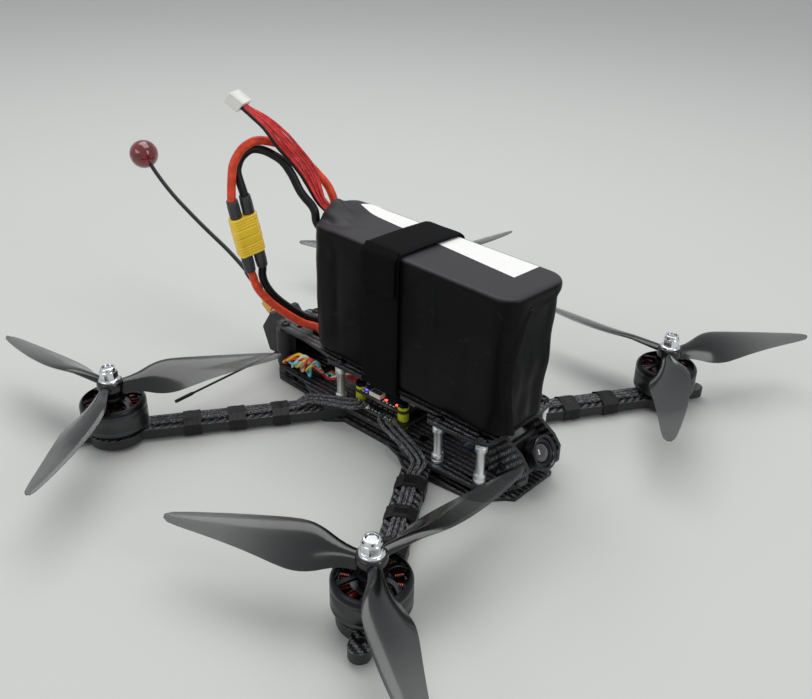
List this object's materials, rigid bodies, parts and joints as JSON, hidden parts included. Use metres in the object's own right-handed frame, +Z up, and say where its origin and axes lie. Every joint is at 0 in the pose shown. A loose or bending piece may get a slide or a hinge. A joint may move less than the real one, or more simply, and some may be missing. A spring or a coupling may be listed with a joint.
{
  "type": "quadcopter racing drone",
  "caption": "Carbon-fibre X-frame racing quadcopter with brushless motors, three-blade propellers, a tilting nose camera, strapped battery pack and tail antenna.",
  "frame": {"origin": "middle of the frame (centre of the electronics stack) on the bottom plate's lower face", "axes": "+X to the nose, +Y to the left side, +Z up along the motor shafts"},
  "size_m": [0.4051, 0.394, 0.1682],
  "materials": {
    "carbon_plate": "woven carbon fibre plate, satin",
    "standoff_metal": "bright turned",
    "screw_steel": "black oxide",
    "camera_shell": "fine matte",
    "lens_black": "gloss, coated glass front",
    "circuit_board": "black solder mask",
    "board_parts": "chips, sockets and solder",
    "button_white": "moulded",
    "damper_lime": "soft silicone",
    "capacitor_sleeve": "shrink sleeve",
    "black_tube": "thin tube",
    "heatsink": "black anodised",
    "wire_colours": "silicone wires in mixed colours",
    "wire_black": "silicone, satin",
    "tape_black": "wound tape",
    "motor_base_metal": "black anodised",
    "windings": "enamelled copper on dark lamination",
    "bell_metal": "gunmetal, satin",
    "prop_smoke": "smoked polycarbonate",
    "nut_silver": "bright with nylon collar",
    "pack_shrink": "matte heat shrink",
    "pad_rubber": "tacky sheet",
    "strap_web": "woven webbing",
    "wire_red": "silicone, satin",
    "plug_yellow": "moulded nylon",
    "plug_white": "moulded nylon",
    "mount_tpu": "printed flexible plastic",
    "connector_gold": "gold plated",
    "mast_black": "sleeved semi-rigid cable",
    "cap_red": "gloss, dark red"
  },
  "bodies": {
    "frame": {"bottom_plate": "carbon_plate", "mid_plate": "carbon_plate", "top_plate": "carbon_plate", "arm_front_right": "carbon_plate", "arm_front_left": "carbon_plate", "arm_rear_right": "carbon_plate", "arm_rear_left": "carbon_plate", "standoffs": "standoff_metal", "frame_screws": "screw_steel", "top_screws": "screw_steel", "motor_screws": "screw_steel", "camera_plate_right": "carbon_plate", "camera_plate_left": "carbon_plate", "esc_board": "circuit_board", "esc_parts": "board_parts", "flight_controller": "circuit_board", "controller_parts": "board_parts", "stack_screws": "screw_steel", "stack_dampers": "damper_lime", "filter_capacitor": "capacitor_sleeve", "receiver": "circuit_board", "receiver_antenna": "black_tube", "video_transmitter": "heatsink", "signal_wires": "wire_colours", "motor_leads": "wire_black", "lead_wraps": "tape_black", "motor_bases": "motor_base_metal", "motor_stators": "windings", "battery_pack": "pack_shrink", "battery_pad": "pad_rubber", "battery_strap": "strap_web", "battery_lead_red": "wire_red", "battery_lead_black": "wire_black", "battery_plug": "plug_yellow", "frame_plug": "plug_yellow", "plug_sleeves": "tape_black", "frame_lead_red": "wire_red", "frame_lead_black": "wire_black", "balance_lead": "wire_red", "balance_plug": "plug_white", "antenna_mount": "mount_tpu", "sma_connector": "connector_gold", "antenna_mast": "mast_black", "antenna_cap": "cap_red"},
    "rotor_front_right": {"bell_front_right": "bell_metal", "propeller_front_right": "prop_smoke", "prop_nut_front_right": "nut_silver"},
    "rotor_front_left": {"bell_front_left": "bell_metal", "propeller_front_left": "prop_smoke", "prop_nut_front_left": "nut_silver"},
    "rotor_rear_right": {"bell_rear_right": "bell_metal", "propeller_rear_right": "prop_smoke", "prop_nut_rear_right": "nut_silver"},
    "rotor_rear_left": {"bell_rear_left": "bell_metal", "propeller_rear_left": "prop_smoke", "prop_nut_rear_left": "nut_silver"},
    "camera": {"camera_case": "camera_shell", "camera_lens": "lens_black", "camera_screws": "screw_steel"},
    "boot_button": {"boot_button": "button_white"}
  },
  "joints": [
    {"name": "spin_front_right", "type": "hinge", "parent": "frame", "child": "rotor_front_right", "pos_m": [0.0925, -0.1165, 0.0315], "axis": [0, 0, 1], "continuous": true},
    {"name": "spin_front_left", "type": "hinge", "parent": "frame", "child": "rotor_front_left", "pos_m": [0.0925, 0.1165, 0.0315], "axis": [0, 0, 1], "continuous": true},
    {"name": "spin_rear_right", "type": "hinge", "parent": "frame", "child": "rotor_rear_right", "pos_m": [-0.0925, -0.1165, 0.0315], "axis": [0, 0, 1], "continuous": true},
    {"name": "spin_rear_left", "type": "hinge", "parent": "frame", "child": "rotor_rear_left", "pos_m": [-0.0925, 0.1165, 0.0315], "axis": [0, 0, 1], "continuous": true},
    {"name": "camera_tilt", "type": "hinge", "parent": "frame", "child": "camera", "pos_m": [0.078, 0, 0.0155], "axis": [0, -1, 0], "range_deg": [-28, 22]},
    {"name": "boot_press", "type": "slide", "parent": "frame", "child": "boot_button", "axis": [0, 0, -1], "range_m": [0, 0.00025], "stiffness_N_per_m": 400}
  ]
}
